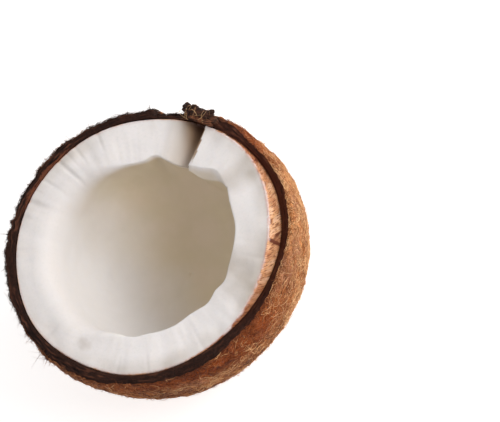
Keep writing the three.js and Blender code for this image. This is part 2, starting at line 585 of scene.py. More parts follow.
def flesh_relief(rings, across, part, turns):
    """The flesh's fine shape: streaks and creases of the break, a wavy cavity and the
    ridges of the skin. Gives the moved rings, the creases and the ridges."""
    t = np.broadcast_to(turns, across.shape)
    on_face = (part >= ON_BRINK) & (part < IN_CAVITY)
    along = around(t, FLESH_RING, across * 16)
    streaks = noise(along, (2.0, 2.0, 10), 11) * 0.07 + noise(along, (4.2, 4.2, 15), 12) * 0.20
    grain = fractal(rings, 1.6, 2, 13) * 0.03
    waves = noise(rings, 8.0, 14) * 0.42 * smooth(0, 0.25, across)
    crease = 0
    for at, width, depth, reach in CREASES:
        line = bump(t + 0.006 * noise(rings, 9.0, int(at) + 400), at, width)
        crease = crease + depth * line * (1 - smooth(reach - 0.55, reach, across))
    calm = 0.25 + 0.75 * smooth(0, math.radians(5), np.abs(angle_from(t, WALL_MIDDLE)))
    shown = np.where(part == ON_BRINK, 0.4, 1.0) * on_face * calm
    moved = rings.copy()
    moved[..., 2] += (streaks + grain + waves - 0.8 * crease) * shown

    inward = unit(rings - np.array([LEAN[0] * 0.3, LEAN[1] * 0.3, -CAVITY_DROP]))
    wavy = fractal(rings, 14.0, 3, 15) * 0.55 + noise(rings, 2.4, 16) * 0.05
    moved += inward * (wavy * smooth(1.6, IN_CAVITY, part))[..., None]

    slanted = t * RIM_RADIUS + rings[..., 2] * SKIN_SLANT
    at = np.stack([slanted, 0.25 * rings[..., 2], across], -1)
    ridges = noise(at, (1.15, 0.9, 1), 17) * 0.22 + noise(at, (3.4, 1.2, 1), 18) * 0.12
    ridges = ridges * (0.8 + 0.6 * bump(t, 3, 15))
    crack = bump(t + 0.005 * noise(rings, 1.5, 16), CRACK_AT, 1.1)
    ridges = ridges * (1 - crack) - 0.4 * crack
    ridges = ridges * (part == ON_SKIN) * smooth(-14, -6, rings[..., 2])
    moved -= inward * ridges[..., None]
    return moved, crease * on_face, ridges


MEAT_COLOURS = {
    "white": (0.92, 0.875, 0.86),
    "cloudy white": (0.90, 0.865, 0.858),
    "grain": (0.86, 0.83, 0.815),
    # The cavity's colours, pale and beige, are painted shade: pale on the wall that faces the
    # lamps, beige on the wall turned away.
    "pale": (0.79, 0.768, 0.762),
    "beige": (0.69, 0.59, 0.43),
    "warm beige": (0.725, 0.61, 0.47),
    # Painted shade on the break.
    "face_shade": (0.30, 0.22, 0.10),
    # Painted shade in the break's creases and on its soft shoulder.
    "crease": (0.62, 0.59, 0.57),
    # Painted shade round the notch, which also colours a smudge.
    "notch_shade_and_smudge": (0.56, 0.495, 0.44),
    # Stain and painted shadow by the notch's wall, light and dark.
    "stain_and_shadow": (0.36, 0.235, 0.145),
    "dark stain and shadow": (0.090, 0.036, 0.018),
    "blush": (0.66, 0.42, 0.38),
}
TESTA_COLOURS = {
    "brown": (0.58, 0.25, 0.115),
    "light brown": (0.78, 0.42, 0.21),
    "ridge": (0.86, 0.52, 0.32),
    "light vein": (0.87, 0.54, 0.34),
    "dark vein": (0.24, 0.075, 0.033),
    "groove": (0.16, 0.045, 0.022),
    "shaded": (0.63, 0.43, 0.37),
}


def meat_colour(tree, broad, fine):
    """White on the break, painted shade in the cavity (pale towards the lamps, beige away from
    them), stain and painted shadow by the notch, painted shade on the break and in its creases, and
    pink at its edge.
    """
    c = MEAT_COLOURS
    white = blend_colour(tree, ramp(tree, broad, 0.35, 0.7), c["white"], c["cloudy white"])
    white = blend_colour(tree, ramp(tree, fine, 0.45, 0.8), white, c["grain"])
    beige = blend_colour(tree, ramp(tree, broad, 0.3, 0.7), c["beige"], c["warm beige"])
    inner = blend_colour(tree, number(tree, "cavity_shade"), c["pale"], beige)
    stain_and_shadow = times(tree, number(tree, "stain_and_shadow"), ramp(tree, broad, -0.1, 0.42))
    blush = times(tree, number(tree, "blush"), ramp(tree, fine, 0.25, 0.6))
    return layered(tree, white, [
        (number(tree, "cavity"), inner),
        (number(tree, "face_shade"), c["face_shade"], "MULTIPLY"),
        (number(tree, "crease"), c["crease"]),
        (number(tree, "notch_shade_and_smudge"), c["notch_shade_and_smudge"]),
        (ramp(tree, stain_and_shadow, 0.0, 0.62), c["stain_and_shadow"]),
        (ramp(tree, stain_and_shadow, 0.4, 0.92), c["dark stain and shadow"]),
        (blush, c["blush"]),
    ])


def testa_veins(tree):
    """Short streaks that slant down the flesh's skin."""
    height = {"X": number(tree, "around"), "Y": number(tree, "height")}
    flow = node(tree, "ShaderNodeCombineXYZ", height).outputs["Vector"]
    flow = node(tree, "ShaderNodeMapping", {"Vector": flow, "Scale": (1.0, 0.22, 1.0)})
    return noise_map(tree, flow.outputs["Vector"], 0.62, 3, 0.6, 0.3)


def testa_colour(tree, place, veins):
    """The flesh's brown skin, in patches, with its veins and ridges."""
    c = TESTA_COLOURS
    patches = noise_map(tree, place, 5.0, 3)
    skin = blend_colour(tree, ramp(tree, patches, 0.35, 0.68), c["brown"], c["light brown"])
    ridge = number(tree, "ridge")
    return layered(tree, skin, [
        (ramp(tree, ridge, 0.5, 0.9), c["ridge"]),
        (ramp(tree, veins, 0.54, 0.7), c["light vein"]),
        (ramp(tree, veins, 0.48, 0.35), c["dark vein"]),
        (ramp(tree, ridge, 0.42, 0.02), c["groove"]),
        (number(tree, "shaded"), c["shaded"], "MULTIPLY"),
    ])


def flesh_material():
    material, tree, shader = new_material("coconut_flesh")
    place = coordinates(tree)
    broad = noise_map(tree, place, 14.0, 3)
    fine = noise_map(tree, place, 1.1, 4, 0.6)
    speck = noise_map(tree, place, 0.35, 2)
    veins = testa_veins(tree)
    meat = meat_colour(tree, broad, fine)
    colour = blend_colour(tree, number(tree, "skin"), meat, testa_colour(tree, place, veins))
    skin_bump = times(tree, veins, number(tree, "skin"))
    fill(tree, shader, {
        "Base Color": colour,
        "Roughness": between(tree, ramp(tree, fine, 0.2, 0.8, False), 0.48, 0.64),
        "Specular IOR Level": 0.25,
        "Subsurface Weight": 0.25,
        "Subsurface Radius": (1.0, 0.9, 0.75),
        "Subsurface Scale": 0.003,
        "Normal": bumped(tree, [(fine, 0.14, 0.15), (speck, 0.08, 0.06), (skin_bump, 0.8, 0.3)]),
    })
    return material


def slant_wall(rings, across, part, turns):
    """The rings with the columns beside the notch's wall turned, so that it slants."""
    angle = wall_skew(np.broadcast_to(turns, across.shape), across)
    angle = angle * (part >= ON_BRINK) * smooth(-18, -3, rings[..., 2] + 3 * (part < IN_CAVITY))
    c, s = np.cos(angle), np.sin(angle)
    x, y = rings[..., 0], rings[..., 1]
    return np.stack([c * x - s * y, s * x + c * y, rings[..., 2]], -1)


def cavity_share(t, part, below):
    """1 in the cavity, where its painted shade goes, and 0 on the break, with a soft change where
    the rounding is soft.
    """
    soft, facet = soft_share(t), facet_share(t)
    rounded = part > ON_FACE
    start = mix(0.5, 1.5, soft) + 3.4 * facet
    reach = mix(4, 10, soft) * (1 - 0.6 * facet)
    share = rounded * smooth(0, 1, (below - start) / reach)
    return np.maximum(share, 0.62 * facet * rounded * smooth(-0.3, 2.8, below))


def notch_marks(moved, across, part, t):
    """The stain and painted shadow by the notch's wall, and painted shade round it, which holds a
    smudge too.
    """
    past = np.degrees(angle_from(t, mix(WALL_OUTER, WALL_INNER, across)))
    broken = (part >= ON_BRINK) * (part < IN_CAVITY)
    notched = broken * (past > -1.5) * (moved[..., 2] < 1.5)
    # Stain and painted shadow of the proud wall, darkest at its foot.
    stain_and_shadow = notched * (1 - smooth(4.0, mix(15.0, 12.0, across), past))
    stain_and_shadow = stain_and_shadow * mix(1.0, 0.22, across**0.7)
    # Painted shade round the notch.
    notch_shade_and_smudge = notched * (1 - smooth(8.0, mix(20.0, 25.0, across), past))
    wall_end = (past < 0.6) * smooth(0.65, 0.9, across)
    aside = angle_from(t, SMUDGE_AT) * FLESH_RING / 3.0
    radius = np.hypot(moved[..., 0], moved[..., 1])
    spot = np.hypot(aside, (radius - FLESH_RING) / 2.2) + 0.5 * noise(moved, 1.8, 20)
    smudge = 0.5 * (1 - smooth(0.1, 1.6, spot)) * (part == ON_FACE)
    return stain_and_shadow * (1 - wall_end), notch_shade_and_smudge * (1 - 0.8 * wall_end) + smudge


def painted_face_shade(moved, across, t):
    """Where the break is greyer with painted shade: along its outside, and right across in two
    places.
    """
    outer = 0.14 + 0.14 * bump(t, -82, 42) + 0.14 * bump(t, 128, 22) + 0.11 * bump(t, 10, 30)
    outer = (outer - 0.14 * bump(t, 97, 28)) * (1 - smooth(0.05, 0.5, across))
    right_across = 0.34 * bump(t, -22, 24) + 0.31 * bump(t, 30, 12)
    return (outer + right_across) * (1 + 0.5 * noise(moved, 5.0, 21))


def flesh_masks(moved, across, part, t, crease, ridges):
    """The numbers that the flesh's material reads at each point."""
    level = moved[..., 2]
    below = flesh_top(t, 1) - level
    cavity = cavity_share(t, part, below)
    # Painted shade on the soft shoulder where the break rounds into the cavity.
    shoulder_shade = 0.3 * soft_share(t) * smooth(0.2, 0.65, across) * (part >= ON_FACE)
    shoulder_shade = shoulder_shade * (1 - smooth(3, 12, below))
    stain_and_shadow, notch_shade_and_smudge = notch_marks(moved, across, part, t)
    # Painted shade on the break, kept out of the cavity.
    face_shade = painted_face_shade(moved, across, t) * (part >= ON_BRINK) * (1 - cavity)
    edge = (part == ON_FACE) * (1 - smooth(0.0, 0.09, across)) + (part < ON_FACE)
    ragged = 0.15 + 0.25 * noise(moved, (1.3, 1.3, 3.0), 18) + 0.35 * noise(moved, 5.0, 19)
    scraped = smooth(0.2, -0.2, flesh_top(t, 0) - level - np.maximum(ragged, 0))
    toward = 0.85 * moved[..., 0] + 0.5 * moved[..., 1]
    return {
        "cavity": cavity,
        # Painted shade in the cavity: 1 on its wall at +X and +Y, which is turned away from the
        # lamps.
        "cavity_shade": smooth(-27, 9, toward + 3 * noise(moved, 11.0, 9)),
        # Painted shade: darker in the break's creases and on its soft shoulder.
        "crease": np.clip(crease * 0.6 + shoulder_shade, 0, 1),
        "stain_and_shadow": np.clip(stain_and_shadow, 0, 1),
        "notch_shade_and_smudge": np.clip(notch_shade_and_smudge, 0, 1),
        "face_shade": np.clip(face_shade, 0, 1),
        "blush": edge * (0.45 + 0.4 * bump(t, 0, 75)),
        "ridge": 0.5 + 2.0 * ridges,
        "shaded": bump(t, -46, 34) + 0.8 * bump(t, 36, 24),
        "around": t * RIM_RADIUS + level * SKIN_SLANT,
        "height": level,
        "skin": (part <= ON_BRINK) * (1 - scraped),
    }


def build_flesh(columns):
    turns = flesh_columns(columns)
    rings, across, part = flesh_rings(turns)
    rings = slant_wall(rings, across, part, turns)
    moved, crease, ridges = flesh_relief(rings, across, part, turns)
    t = np.broadcast_to(turns, across.shape)
    values = flesh_masks(moved, across, part, t, crease, ridges)
    poles = (FLESH_OUTSIDE.point(0.0, 0.0), CAVITY.point(0.0, 0.0))
    closed_skin("coconut_flesh", moved, poles, flesh_material(), values, "flesh")


# ---- Shell ----
def shell_relief(turn, climb):
    """How far the outside stands off its layer: broad lumps, fibrous ridges and felt."""
    p = OUTSIDE.point(turn, climb)
    lumps = fractal(p, 18.0, 2, 21) * 0.45
    flow = around(turn, SHELL_RING, climb * SHELL_RING)
    warped = flow + noise(p, 7.0, 22)[..., None] * (1.2, 1.2, 3.0)
    ridges = noise(warped, (1.9, 1.9, 11), 23) * 0.26 + noise(warped, (0.9, 0.9, 5), 24) * 0.16
    felt = fractal(p, 1.5, 2, 25) * 0.16
    return lumps + ridges + felt


def shell_off(turn, climb):
    """How far the finished outside stands off the layer: its relief and its lost edge."""
    level = OUTSIDE.point(turn, climb)[..., 2]
    return shell_relief(turn, climb) + wall_gain(turn, level)


def edge_height(turn):
    """The broken edge's own ups and downs, with one raised chip."""
    ring = around(turn, EDGE_RING, 0)
    raised = 0.9 * bump(turn, 88.5, 4.5)
    rough = noise(ring, 6.0, 31) * 0.30 + noise(ring, 1.7, 32) * 0.16
    return raised + rough + noise(ring, 0.8, 33) * 0.1


def rim_fibres(turn, share):
    """Streaks that run along the broken edge, from -1 to 1; share goes from outside to inside."""
    at = around(turn, EDGE_RING, share * SHELL_WALL)
    return 0.65 * noise(at, (4.5, 4.5, 0.55), 45) + 0.35 * noise(at, (1.8, 1.8, 0.3), 46)


# Rows of the shell's skin, as (from, to, count) shares of the way or as a count.
OUTSIDE_ROWS = ((0.0, 0.25, 16), (0.25, 0.9, 78), (0.9, 0.996, 16))
EDGE_ROWS = 18
INSIDE_ROWS = ((0.0, 0.2, 8), (0.2, 1.0, 12))


def rim_ring(turns, outer, inner, u):
    """A ring of the broken edge, `u` of the way from its outside to its inside."""
    ring = mix(outer, inner, u)
    split = smooth(0.3, 0.7, u + 0.35 * noise(outer, 7.0, 41))
    step = split * 0.4 * (0.5 + 0.5 * noise(outer, 9.0, 44))
    rough = noise(ring, 1.4, 42) * 0.26 + noise(ring, 0.6, 43) * 0.16
    rough = (rough + rim_fibres(turns, u) * 0.3) * math.sin(math.pi * min(u * 1.4, 1))
    crown = 0.35 * (1 - proud_share(turns)) * math.sin(math.pi * u)
    ring[:, 2] += edge_height(turns) * (1 - 0.6 * u) + crown + rough - step * (1 - u)
    return ring


def shell_rings(turns):
    """Rings of the shell's skin, how far each is broken face, and how far inwards on it."""
    top_climb = OUTSIDE.climb_to(0.0 * turns)
    inner_level = -BEVEL * proud_share(turns)
    inner_shift = shifted(turns, INNER_SHIFTS)
    rings, broken, depth_in = [], [], []

    def add(points, is_broken, inward):
        rings.append(points)
        broken.append(np.broadcast_to(is_broken, turns.shape))
        depth_in.append(np.broadcast_to(inward, turns.shape))

    for share in rows(*OUTSIDE_ROWS):
        climb = mix(SEAT_CLIMB, top_climb, share)
        calm = smooth(0, 0.06, share)
        add(OUTSIDE.point(turns, climb, shell_off(turns, climb) * calm), 0, 0)
    outer = OUTSIDE.point(turns, top_climb, shell_off(turns, top_climb))
    inner = SHELL_INSIDE.point(turns, SHELL_INSIDE.climb_to(inner_level), inner_shift)
    for u in np.linspace(0.04, 1, EDGE_ROWS):
        add(rim_ring(turns, outer, inner, u), 1, u)
    for share in rows(*INSIDE_ROWS):
        climb = mix(SHELL_INSIDE.climb_to(inner_level - 0.4), SEAT_CLIMB, share)
        shift = inner_shift * (1 - smooth(0.1, 0.4, share))
        add(SHELL_INSIDE.point(turns, climb, shift), 0.6, 1)
    rings = np.array(rings)
    rings[..., 2] = np.maximum(rings[..., 2], SEAT_LEVEL)
    return rings, np.array(broken), np.array(depth_in)


def build_shell(columns):
    turns = np.linspace(0, FULL_TURN, columns, endpoint=False)
    rings, broken, depth_in = shell_rings(turns)
    level = rings[..., 2]
    t = np.broadcast_to(turns, level.shape)
    # Painted light on the broken edge: the maroon of its inner part shows only where this is high.
    lit_rim = 0.15 + bump(t, 142, 36) + 0.5 * bump(t, -80, 40)
    # Painted light on the broken edge: its fibrous streaks stand out more where this is high.
    lit_fibres = bump(t, 142, 42) + 0.7 * bump(t, 55, 40) + 0.5 * bump(t, -135, 40)
    values = {
        "broken": np.maximum(broken, chipped(t, level) * smooth(-6, -3, level)),
        "warm": bump(t, 12, 75),
        "inward": depth_in * lit_rim,
        "near_edge": smooth(-9, 0.5, level) * (broken == 0),
        "fibre": 0.5 + (0.4 + 0.5 * lit_fibres) * rim_fibres(t, depth_in),
        # Painted light and shade on the coat.
        "painted_coat_light": painted_coat_light(t, level),
        "red_and_shade": redness_and_shade(t, level),
        "dark": darkness(t, level),
    }
    pole = OUTSIDE.point(0.0, 0.0)
    pole[2] = SEAT_LEVEL
    poles = (pole, SHELL_INSIDE.point(0.0, 0.0))
    closed_skin("coconut_shell", rings, poles, shell_material(), values, "shell")


def painted_coat_light(turn, level):
    """Painted light and shade on the coat: lighter where it faces the lamps at +X, darker towards
    -Y and -X, and darker by the edge towards +Y and -X.
    """
    sides = 0.34 + 0.6 * bump(turn, 14, 70) - 0.26 * bump(turn, -82, 62)
    dark_edge = smooth(-13, -1, level) * (bump(turn, 72, 56) + bump(turn, 170, 75))
    return np.clip(sides - 0.6 * dark_edge, 0, 1)


def redness_and_shade(turn, level):
    """1 where the coat is redder and darker, partly its own red and partly painted shade: near the
    edge towards +X and -Y, and by the notch.
    """
    patch = bump(turn, -43, 38) * smooth(-22, -10, level)
    patch = patch + 0.9 * bump(turn, -82, 58) * smooth(-11, -3, level)
    return np.clip(patch + bump(turn, 43, 27) * smooth(-16, -6, level), 0, 1)


def darkness(turn, level):
    """1 where the fuzz by the broken edge is nearly black, towards +Y and -X."""
    sides = bump(turn, 90, 52) + bump(turn, 178, 78)
    return np.clip(1.2 * sides * smooth(-9, -1.5, level), 0, 1)


COAT_COLOURS = {
    "brown": (0.24, 0.068, 0.020),
    "light brown": (0.44, 0.155, 0.052),
    # The tan shows where the coat is painted lit.
    "tan": (0.82, 0.36, 0.125),
    "dusty": (0.46, 0.21, 0.115),
    "pit": (0.075, 0.021, 0.008),
    # The coat's own red by the edge, partly painted shade as well.
    "red_and_shade": (0.70, 0.44, 0.29),
    "dark": (0.15, 0.12, 0.12),
    "by the edge": (0.10, 0.04, 0.02),
}
EDGE_COLOURS = {
    "black": (0.014, 0.0055, 0.0035),
    "brown": (0.050, 0.017, 0.010),
    "warm": (0.065, 0.018, 0.010),
    # The maroons are painted light on the broken edge.
    "maroon": (0.085, 0.022, 0.012),
    "light maroon": (0.25, 0.083, 0.038),
    "streak": (0.135, 0.048, 0.026),
    "groove": (0.010, 0.004, 0.003),
}


def shaded_coat(tree, colour):
    """Reddens and darkens a coat colour by the piece's own numbers; the reddening is partly painted
    shade.
    """
    return layered(tree, colour, [
        (number(tree, "red_and_shade"), COAT_COLOURS["red_and_shade"], "MULTIPLY"),
        (number(tree, "dark"), COAT_COLOURS["dark"], "MULTIPLY"),
    ])


def coat_colour(tree, place, streak, felt):
    """The felted coat between its strands."""
    c = COAT_COLOURS
    broad = noise_map(tree, place, 16.0, 3)
    patch = noise_map(tree, place, 4.0, 4, 0.6, 0.6)
    coat = blend_colour(tree, ramp(tree, patch, 0.35, 0.65), c["brown"], c["light brown"])
    # Tan streaks where the coat is painted lit.
    light = times(tree, number(tree, "painted_coat_light"), ramp(tree, streak, 0.3, 0.6))
    coat = layered(tree, coat, [
        (light, c["tan"]),
        (ramp(tree, broad, 0.52, 0.66), c["dusty"]),
        (ramp(tree, felt, 0.52, 0.68), c["pit"]),
    ])
    return shaded_coat(tree, coat)


def edge_colour(tree, grain):
    """The broken face of the shell: nearly black, with maroon on its inner part where it is painted
    lit, and fibrous streaks, stronger where they are painted lit.
    """
    c = EDGE_COLOURS
    fibre = number(tree, "fibre")
    dark = blend_colour(tree, ramp(tree, grain, 0.35, 0.75), c["black"], c["brown"])
    dark = blend_colour(tree, number(tree, "warm"), dark, c["warm"])
    maroon = blend_colour(tree, ramp(tree, grain, 0.35, 0.7), c["maroon"], c["light maroon"])
    inward = times(tree, grain, 0.5)
    inward = math_node(tree, "ADD", number(tree, "inward"), inward)
    # Fibrous streaks, stronger where the edge is painted lit.
    streaks = times(tree, ramp(tree, fibre, 0.5, 0.95), 0.8)
    return layered(tree, dark, [
        # Maroon as painted light where the edge's inner part is lit.
        (ramp(tree, inward, 0.75, 1.15), maroon),
        (streaks, c["streak"]),
        (ramp(tree, fibre, 0.42, 0.1), c["groove"]),
    ])


def shell_material():
    material, tree, shader = new_material("coconut_shell")
    place = coordinates(tree)
    felt = noise_map(tree, place, 0.7, 4, 0.7)
    grain = noise_map(tree, place, 0.5, 3, 0.7)
    streak = noise_map(tree, coordinates(tree, (1, 1, 0.16)), 0.8, 4, 0.65, 0.8)
    broken = number(tree, "broken")
    near = times(tree, ramp(tree, number(tree, "near_edge"), 0.8, 1.0), 0.7)
    colour = layered(tree, coat_colour(tree, place, streak, felt), [
        (broken, edge_colour(tree, grain)),
        (near, COAT_COLOURS["by the edge"]),
    ])
    fill(tree, shader, {
        "Base Color": colour,
        "Roughness": between(tree, broken, 0.85, 0.55),
        "Specular IOR Level": 0.12,
        "Normal": bumped(tree, [(streak, 0.5, 0.35), (felt, 0.5, 0.22), (grain, 0.35, 0.12)]),
    })
    return material


# ---- Strands of coir ----
def strands(name, paths, radii, tints, material, sides=3):
    """Thin closed strands along paths (strand, step, 3), thinning to a point at the tip."""
    count, steps = paths.shape[:2]
    along = unit(np.gradient(paths, axis=1))
    helper = np.where(np.abs(along[..., 2:]) < 0.9, [0.0, 0.0, 1.0], [1.0, 0.0, 0.0])
    across = unit(np.cross(along, helper))
    other = np.cross(along, across)
    share = np.linspace(0, 1, steps)
    width = radii[:, None] * (1 - 0.85 * share**3)
    points = []
    for side in range(sides):
        a = FULL_TURN * side / sides
        ring = across * math.cos(a) + other * math.sin(a)
        points.append(paths + ring * width[..., None])
    points = np.stack(points, 2).reshape(-1, 3)
    index = np.arange(count * steps * sides).reshape(count, steps, sides)
    turned = np.roll(index, -1, axis=2)
    walls = np.stack([index[:, :-1], turned[:, :-1], turned[:, 1:], index[:, 1:]], -1)
    walls = walls.reshape(-1, 4).tolist()
    walls += index[:, 0, ::-1].tolist()
    walls += index[:, -1].tolist()
    values = {key: np.repeat(numbers, steps * sides) for key, numbers in tints.items()}
    spread = strand_cells(count, steps, sides)
    mesh_object(name, points, walls, material, values, spread=spread)


def strand_cells(count, steps, sides):
    """Gives each strand a cell of its own on the bake map: the walls, then both ends."""
    across = math.ceil(math.sqrt(count))
    cell = np.stack([np.arange(count) % across, np.arange(count) // across], -1)
    step, side = np.meshgrid(np.arange(steps - 1), np.arange(sides), indexing="ij")
    walls = (cell_corners(side, step, CELL) / (sides, steps - 1))[None]
    ring = np.linspace(0, FULL_TURN, sides, endpoint=False)
    end = np.stack([0.5 + 0.1 * np.cos(ring), 0.5 + 0.1 * np.sin(ring)], -1)[None]
    stretches = [0.1 + 0.8 * walls, 0.05 * end, 0.95 + 0.05 * end]
    return np.concatenate([((cell[:, None] + s) / across).reshape(-1, 2) for s in stretches])


def surface_paths(rng, steps, turn, climb, heading, length, lift, curl):
    """Paths that wander over the outside: heading 0 runs up the side, and the strands rise
    off the surface by `lift` in their middle."""
    step = length / (steps - 1)
    wobble = rng.normal(0, 0.35, (len(turn), 3))
    path = []
    for i in range(steps):
        u = i / (steps - 1)
        relief = shell_off(turn, climb)
        height = 0.12 + lift * np.sin(math.pi * u) ** 0.8 + 0.12 * wobble[:, 0] * u
        path.append(OUTSIDE.point(turn, climb, relief + np.maximum(height, 0.03)))
        radius = OUTSIDE.radius * np.maximum(np.sin(climb), 0.08)
        turn = turn + step * np.sin(heading) / radius
        climb = climb + step * np.cos(heading) / BELLY_HEIGHT
        climb = np.clip(climb, 0.03, OUTSIDE.climb_to(0.6))
        heading = heading + curl / (steps - 1) + wobble[:, 1] * math.cos(3 * u) * 0.6
    return np.stack(path, 1)


COIR_COLOURS = {
    "dark": (0.12, 0.032, 0.010),
    "brown": (0.52, 0.20, 0.065),
    "straw": (0.95, 0.59, 0.29),
    "fleck": (0.26, 0.085, 0.030),
}


def coir_material():
    c = COIR_COLOURS
    material, tree, shader = new_material("coir")
    tint = number(tree, "tint")
    flecks = noise_map(tree, coordinates(tree), 1.2, 3)
    low = blend_colour(tree, ramp(tree, tint, 0.0, 0.5, False), c["dark"], c["brown"])
    colour = layered(tree, low, [
        (ramp(tree, tint, 0.5, 1.0, False), c["straw"]),
        (ramp(tree, flecks, 0.58, 0.8), c["fleck"]),
    ])
    colour = shaded_coat(tree, colour)
    fill(tree, shader, {"Base Color": colour, "Roughness": 0.6, "Specular IOR Level": 0.3})
    return material


def strand_tints(rng, turn, climb, bias, spread, shading=1.0):
    """Lighter and darker strands, in patches that follow the coat's painted light and shade."""
    place = OUTSIDE.point(turn, climb)
    level = place[:, 2]
    patch = noise(place, 7.0, 51) * 0.26 + noise(place, 3.0, 52) * 0.24
    patch = patch + noise(place, 1.4, 54) * 0.2
    # Strands lighter on the coat's painted lit side.
    followed = 0.55 * (painted_coat_light(turn, level) - 0.35)
    tints = bias + followed + patch + rng.normal(0, spread, len(turn))
    return {
        "tint": np.clip(tints * (1 - 0.9 * chipped(turn, level)), 0, 1),
        "red_and_shade": redness_and_shade(turn, level) * shading,
        "dark": darkness(turn, level),
    }


def scattered(rng, count, lowest):
    """Turns and climbs spread evenly over the outside, up to the broken edge."""
    turn = rng.uniform(0, FULL_TURN, count)
    highest = 1 - math.cos(OUTSIDE.climb_to(0.0))
    return turn, np.arccos(1 - rng.uniform(lowest, highest, count))


def build_coat(material):
    """The felt of short strands over the outside, in a few pieces."""
    rng = np.random.default_rng(SEED)
    count = COAT_STRANDS
    for part in range(COAT_PIECES):
        turn, climb = scattered(rng, count, 0.006)
        heading = rng.normal(0, 1.0, count) + math.pi * (rng.random(count) < 0.5)
        length = rng.gamma(3, 0.8, count) + 0.8
        lift = rng.gamma(1.5, 0.12, count)
        curl = rng.normal(0, 1.8, count)
        tints = strand_tints(rng, turn, climb, 0.42, 0.2)
        paths = surface_paths(rng, 7, turn, climb, heading, length, lift, curl)
        radii = rng.uniform(0.05, 0.11, count)
        strands(f"coir_coat_{part + 1}", paths, radii, tints, material)
    build_strays(rng, material)


def build_strays(rng, material):
    """Longer, curlier strands that lie loose on the felt, gathered here and there."""
    turn, climb = scattered(rng, STRAY_CANDIDATES, 0.03)
    gathered = noise(OUTSIDE.point(turn, climb), 7.0, 53)
    gathered = gathered + rng.normal(0, 0.22, STRAY_CANDIDATES) + 0.2 * bump(turn, -48, 50)
    turn, climb = turn[gathered > 0.1], climb[gathered > 0.1]
    count = len(turn)
    heading = rng.uniform(0, FULL_TURN, count)
    length = rng.gamma(4, 1.1, count) + 1.5
    lift = rng.gamma(2.0, 0.22, count)
    curl = rng.normal(0, 4.0, count)
    tints = strand_tints(rng, turn, climb, 0.85, 0.12, 0.35)
    paths = surface_paths(rng, 14, turn, climb, heading, length, lift, curl)
    radii = rng.uniform(0.07, 0.11, count)
    strands("coir_strays", paths, radii, tints, material)


def build_edge_hairs(material):
    """Ends of fibre that stick out along the broken edge, with one tuft of longer ones."""
    rng = np.random.default_rng(SEED + 1)
    count, steps = EDGE_HAIRS, 6
    turn = rng.uniform(0, FULL_TURN, count)
    tuft = np.arange(count) < TUFT_HAIRS
    turn[tuft] = TUFT_AT + rng.normal(0, 0.07, TUFT_HAIRS)
    root = OUTSIDE.point(turn, OUTSIDE.climb_to(-rng.gamma(1.5, 0.8, count)), 0.0)
    relief = shell_off(turn, OUTSIDE.climb_to(0.0))
    side = around(turn, 1, 0)
    beside = np.stack([-side[:, 1], side[:, 0], side[:, 2]], -1)
    aim = side * rng.uniform(0.1, 1.0, (count, 1)) + beside * rng.normal(0, 0.9, (count, 1))
    aim[:, 2] += rng.uniform(-0.5, 0.9, count)
    aim = unit(aim)
    bend = rng.normal(0, 0.5, (count, 3))
    length = rng.gamma(2.0, 0.35, count) + 0.3 + tuft * rng.uniform(1.0, 3.6, count)
    start = root + side * (relief - 0.2)[:, None]
    shares = np.linspace(0, 1, steps)
    paths = [start + (aim * u + bend * u * u) * length[:, None] for u in shares]
    radii = rng.uniform(0.05, 0.13, count) * np.where(tuft, 0.6, 1)
    tints = {
        "tint": rng.beta(1.2, 4.0, count),
        "red_and_shade": redness_and_shade(turn, 0.0),
        "dark": darkness(turn, 0.0) * (1 - 0.6 * tuft),
    }
    strands("edge_hairs", np.stack(paths, 1), radii, tints, material)


# ---- Scrap of husk on the edge ----
HUSK_COLOURS = {
    "black": (0.016, 0.007, 0.005),
    "dark": (0.07, 0.022, 0.012),
    "brown": (0.13, 0.045, 0.02),
    "light": (0.30, 0.105, 0.045),
}


def husk_material():
    c = HUSK_COLOURS
    material, tree, shader = new_material("husk_scrap")
    streak = noise_map(tree, coordinates(tree, (0.16, 1, 1)), 0.45, 4, 0.65)
    patch = noise_map(tree, coordinates(tree), 3.0, 3)
    dark = blend_colour(tree, ramp(tree, streak, 0.4, 0.7), c["black"], c["dark"])
    light = times(tree, number(tree, "tint"), ramp(tree, streak, 0.38, 0.62))
    colour = layered(tree, dark, [
        (ramp(tree, patch, 0.55, 0.75), c["brown"]),
        (light, c["light"]),
    ])
    fill(tree, shader, {
        "Base Color": colour,
        "Roughness": 0.75,
        "Specular IOR Level": 0.3,
        "Normal": bumped(tree, [(streak, 0.6, 0.3)]),
    })
    return material


SCRAP_AT = math.radians(64)
# The scrap's lumps: middle along the edge, outwards and up; half sizes; turn about the
# vertical; lightness.
SCRAP_LUMPS = [
    ((2.6, 1.7, 0.1), (5.4, 1.9, 2.0), 0.03, 0.12),
    ((3.0, -0.4, -0.7), (5.6, 1.2, 1.5), -0.05, 0.8),
    ((-3.9, 2.7, 1.3), (1.8, 1.0, 0.9), 0.5, 0.0),
    ((-3.6, 0.7, 0.6), (1.8, 0.8, 0.6), -0.3, 0.0),
    ((6.6, 3.2, 1.1), (1.5, 0.9, 0.8), 0.7, 0.0),
    ((8.0, 0.9, -0.8), (2.2, 1.1, 1.5), -0.2, 0.35),
    ((-0.6, 3.1, 0.3), (1.6, 0.7, 2.0), 0.2, 0.1),
]
